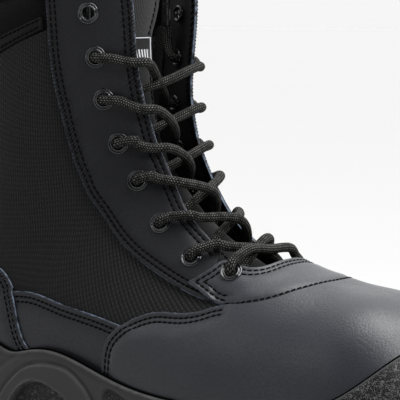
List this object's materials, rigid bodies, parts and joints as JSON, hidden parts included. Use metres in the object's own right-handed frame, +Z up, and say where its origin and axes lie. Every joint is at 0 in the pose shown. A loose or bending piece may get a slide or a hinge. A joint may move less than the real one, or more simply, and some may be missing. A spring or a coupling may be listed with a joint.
{
  "type": "lace-up safety boot, right foot",
  "caption": "Black eight-inch lace-up uniform boot, right foot: smooth leather and ballistic nylon upper, padded collar, safety toe, moulded cup sole.",
  "frame": {"origin": "on the ground, under the middle of the heel tread", "axes": "+X towards the toe, +Y towards the inner (medial) side of this right boot, +Z up from the ground"},
  "size_m": [0.3028, 0.1118, 0.2441],
  "materials": {
    "black_leather": "smooth corrected-grain black leather, satin",
    "ballistic_nylon": "dense black basket-weave nylon",
    "padded_textile": "black padded textile",
    "lining_mesh": "black knitted lining",
    "woven_label": "woven textile label with a plain pattern",
    "braided_lace": "round braid, black with light flecks",
    "aglet_plastic": "clear-coated black tip",
    "eyelet_black": "gloss black enamel",
    "sole_rubber": "matte dark grey-black moulded",
    "midsole_foam": "foamed, matte",
    "shank_steel": "spring steel strip",
    "toe_cap_steel": "pressed, plain",
    "stiffener_board": "moulded fibre",
    "insole_board": "pressed fibre board",
    "footbed_foam": "textile-covered foam"
  },
  "bodies": {
    "boot": {"aglet_lateral": "aglet_plastic", "aglet_medial": "aglet_plastic", "backstay": "black_leather", "collar_binding": "padded_textile", "collar_pad": "padded_textile", "eyelet_lateral_1": "eyelet_black", "eyelet_lateral_2": "eyelet_black", "eyelet_lateral_3": "eyelet_black", "eyelet_lateral_4": "eyelet_black", "eyelet_lateral_5": "eyelet_black", "eyelet_lateral_6": "eyelet_black", "eyelet_lateral_7": "eyelet_black", "eyelet_lateral_8": "eyelet_black", "eyelet_lateral_9": "eyelet_black", "eyelet_medial_1": "eyelet_black", "eyelet_medial_2": "eyelet_black", "eyelet_medial_3": "eyelet_black", "eyelet_medial_4": "eyelet_black", "eyelet_medial_5": "eyelet_black", "eyelet_medial_6": "eyelet_black", "eyelet_medial_7": "eyelet_black", "eyelet_medial_8": "eyelet_black", "eyelet_medial_9": "eyelet_black", "eyestay_lateral": "black_leather", "eyestay_medial": "black_leather", "foxing_lateral": "black_leather", "foxing_medial": "black_leather", "heel_counter": "black_leather", "heel_stiffener": "stiffener_board", "insole_board": "insole_board", "lace": "braided_lace", "lining_quarter": "lining_mesh", "lining_vamp": "lining_mesh", "midsole": "midsole_foam", "outsole": "sole_rubber", "quarter_lateral": "ballistic_nylon", "quarter_medial": "ballistic_nylon", "shank": "shank_steel", "throat_saddle": "black_leather", "toe_cap": "toe_cap_steel", "vamp": "black_leather"},
    "tongue_body": {"tongue": "padded_textile", "tongue_label": "woven_label"},
    "footbed_body": {"footbed": "footbed_foam"}
  },
  "joints": [
    {"name": "tongue_pivot", "type": "hinge", "parent": "boot", "child": "tongue_body", "pos_m": [0.14861, 0, 0.08299], "axis": [0, 1, 0], "range_deg": [-12, 0.5]},
    {"name": "footbed_lift", "type": "hinge", "parent": "boot", "child": "footbed_body", "pos_m": [0.24279, 0, 0.02895], "axis": [0, 1, 0], "range_deg": [0, 8]}
  ]
}
